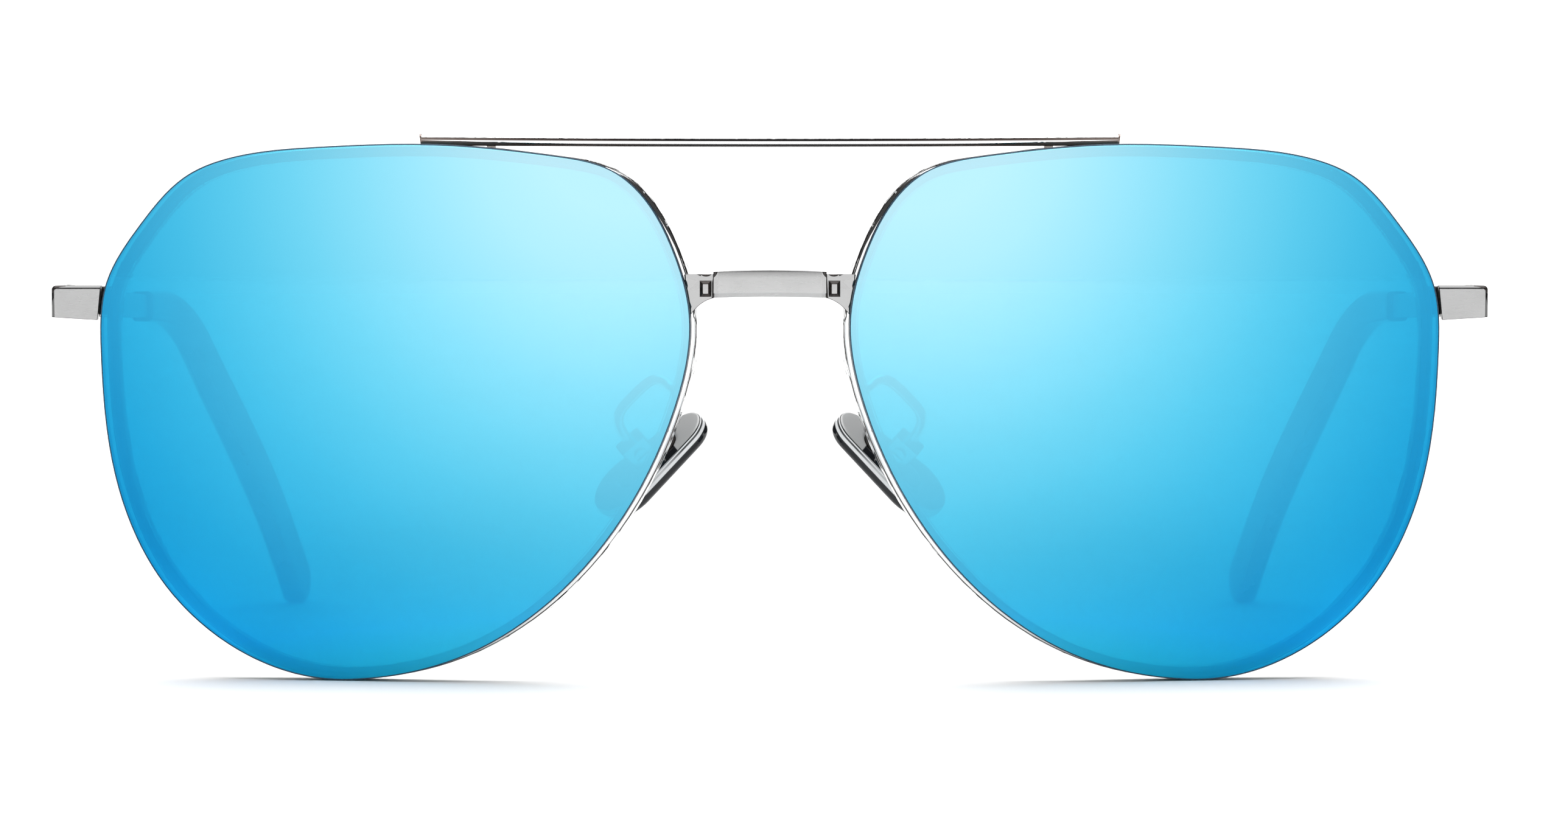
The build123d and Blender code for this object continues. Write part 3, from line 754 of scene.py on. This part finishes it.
def pad_rows():
    """Rows of points on the pad: across it, along it, and out of its back, in millimetres."""
    half = (PAD_LENGTH - PAD_TOP_R - PAD_BOTTOM_R) / 2
    shift = (PAD_BOTTOM_R - PAD_TOP_R) / 2
    top, bottom = half + shift, -half + shift
    outline = []
    for u, v in hull_ring(PAD_TOP_R, PAD_BOTTOM_R, top, bottom):
        outline.append((u, v, max(min(v, top), bottom)))
    pocket = hull_ring(POCKET_R, POCKET_R + POCKET_TAPER, POCKET_HALF, -POCKET_HALF)

    rows = []
    for wide, tall, height in POCKET_ROWS:
        rows.append([(u * wide, v * tall, height) for u, v in pocket])
    for inset, height in EDGE_ROWS:
        row = []
        for u, v, spine in outline:
            left = 1 - inset / hypot(u, v - spine)
            row.append((u * left, spine + (v - spine) * left, height))
        rows.append(row)
    for share in FACE_ROWS:
        height = PAD_THICK - 0.06 * share
        row = []
        for u, v, spine in outline:
            row.append((u * share, spine * (0.35 + 0.65 * share) + (v - spine) * share, height))
        rows.append(row)
    return rows


def nose_pad(side_name, side, material):
    """A moulded pad: a pocket for its insert, a rounded edge with a seam, and a domed face."""
    across, along, out = pad_frame()
    made = bmesh.new()
    rings = []
    for row in pad_rows():
        ring = []
        for u, v, w in row:
            spot = PAD_MIDDLE + (across * u + along * v + out * w) * MM
            ring.append(made.verts.new((spot.x * side, spot.y, spot.z)))
        rings.append(ring)
    for lower, upper in zip(rings, rings[1:]):
        join_rings(made, lower, upper)
    made.faces.new(rings[0])
    made.faces.new(rings[-1])
    pad = new_piece(f"silicone_pad_{side_name}", made, material)
    finer = pad.modifiers.new("finer", "SUBSURF")
    finer.levels = finer.render_levels = 1
    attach(pad, f"pad_{side_name}")
    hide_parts(f"nose_pad_{side_name}")


# ---- camera, floor and light ---------------------------------------------------------------
CAMERA_AWAY, CAMERA_Z, CAMERA_LENS = 0.55, 0.044, 123.6
TARGET_X, TARGET_Z = 0.00143, 0.02776
OVERHEAD_LIGHT = 4.6
OVERHEAD_FROM, OVERHEAD_FULL = radians(45), radians(64)  # elevations
FLAG_LEFT = 0.04  # light that a dark flag still gives
# Dark flags: lowest and highest elevation and azimuth in degrees, each with its softness. The
# azimuth is from straight in front, and counts the same to both sides.
FLAGS = (
    {"elevation": (21, 56, 3), "azimuth": (-10, 80, 15)},
    {"elevation": (-90, 48, 8), "azimuth": (62, 150, 4)},
)


def camera():
    """Straight on, a little above the middle of the lenses, as for a catalogue picture."""
    low, _ = cad_box
    made = bpy.data.objects.new("camera", bpy.data.cameras.new("camera"))
    bpy.context.scene.collection.objects.link(made)
    made.data.sensor_width = 36
    made.data.lens = CAMERA_LENS
    made.data.clip_start = 0.01
    made.location = (0, low.y - CAMERA_AWAY, CAMERA_Z)
    target = Vector((TARGET_X, low.y, TARGET_Z))
    made.rotation_euler = (target - made.location).to_track_quat("-Z", "Y").to_euler()
    bpy.context.scene.camera = made


def floor():
    """A plain white floor."""
    low, _ = cad_box
    material, made = new_material("floor_white")
    grain = noise(made, millimetres(made), 0.02, detail=2.0)
    colour = made.ramp(grain, greys([(0.2, 0.91), (0.8, 0.93)]))
    shader = made.principled(
        {"Base Color": colour, "Roughness": 0.9, "Specular IOR Level": 0.0}
    )
    made.put_out(shader)
    bpy.ops.mesh.primitive_plane_add(size=12, location=(0, 0, low.z - 0.02 * MM))
    ground = bpy.context.object
    ground.name = "floor"
    ground.data.materials.append(material)


def band(made, value, low, high, soft):
    """1 from low to high degrees, and falling to 0 within soft degrees outside them."""
    rise = made.span(value, radians(low - soft), radians(low), smooth=True)
    fall = made.span(value, radians(high), radians(high + soft), 1.0, 0.0, smooth=True)
    return made.math("MULTIPLY", rise, fall)


def studio():
    """A white studio, brighter overhead, with dark flags that metal edges pick up."""
    world = bpy.data.worlds.new("studio")
    bpy.context.scene.world = world
    world.use_nodes = True
    made = Nodes(world.node_tree)
    way = made.add("ShaderNodeTexCoord").outputs["Generated"]
    x, y, z = made.add("ShaderNodeSeparateXYZ", {0: way}).outputs
    elevation = made.math("ARCSINE", z)
    turned = made.math("ARCTAN2", x, made.math("MULTIPLY", y, -1.0))
    azimuth = made.math("ABSOLUTE", turned)

    overhead = made.span(
        elevation, OVERHEAD_FROM, OVERHEAD_FULL, STUDIO_LIGHT, OVERHEAD_LIGHT, smooth=True
    )
    first, second = [
        made.math(
            "MULTIPLY",
            band(made, elevation, *flag["elevation"]),
            band(made, azimuth, *flag["azimuth"]),
        )
        for flag in FLAGS
    ]
    shaded = made.span(made.math("MAXIMUM", first, second), 0, 1, 1.0, FLAG_LEFT)
    light = made.math("MULTIPLY", overhead, shaded)
    seen = made.add("ShaderNodeLightPath").outputs["Is Camera Ray"]
    strengths = {0: seen, 2: light, 3: STUDIO_LIGHT}
    strength = made.add("ShaderNodeMix", strengths, data_type="FLOAT").outputs[0]
    glow = made.add("ShaderNodeBackground", {"Color": (1, 1, 1, 1), "Strength": strength})
    made.add("ShaderNodeOutputWorld", {"Surface": glow.outputs[0]})
    bpy.context.scene.view_settings.view_transform = "Standard"


# ---- the whole -----------------------------------------------------------------------------
ROUNDED = {  # millimetres that the sharp edges of a part are rounded by
    "rim": 0.5,
    "endpiece": 0.08,
    "temple_arm": 0.15,
    "front_hinge": 0.05,
    "temple_hinge": 0.05,
}
hinge_satin = hinge_material()
pad_chrome = plain("pad_silver", polished, 0.60, 0.10, 0.20)
steel = plain("turned_steel", polished, 0.55, 0.14, 0.26)
finishes = {
    "rim": rim_material(),
    "brow_foot": plain("solder_joint", solder),
    "endpiece": endpiece_material(),
    "front_hinge": hinge_satin,
    "temple_hinge": hinge_satin,
    "hinge_screw": steel,
    "pad_screw": steel,
    "pad_arm": pad_chrome,
    "pad_box": pad_chrome,
    "pad_core": plain("pad_insert", dull_dark_metal),
    "temple_arm": temple_material(),
    "temple_tip": tip_material(),
}
silicone = pad_material()
edge_dark = edge_material()

dress("brow_bar", bar_material())
dress("bridge", bridge_material(), edge=0.06)
for side_name, side in SIDES.items():
    for part, finish in finishes.items():
        dress(f"{part}_{side_name}", finish, ROUNDED.get(part, 0.0))
    dress(f"lens_{side_name}", lens_material(side_name, side))
    lens_bead(side_name, side, edge_dark)
    nose_pad(side_name, side, silicone)

camera()
floor()
studio()
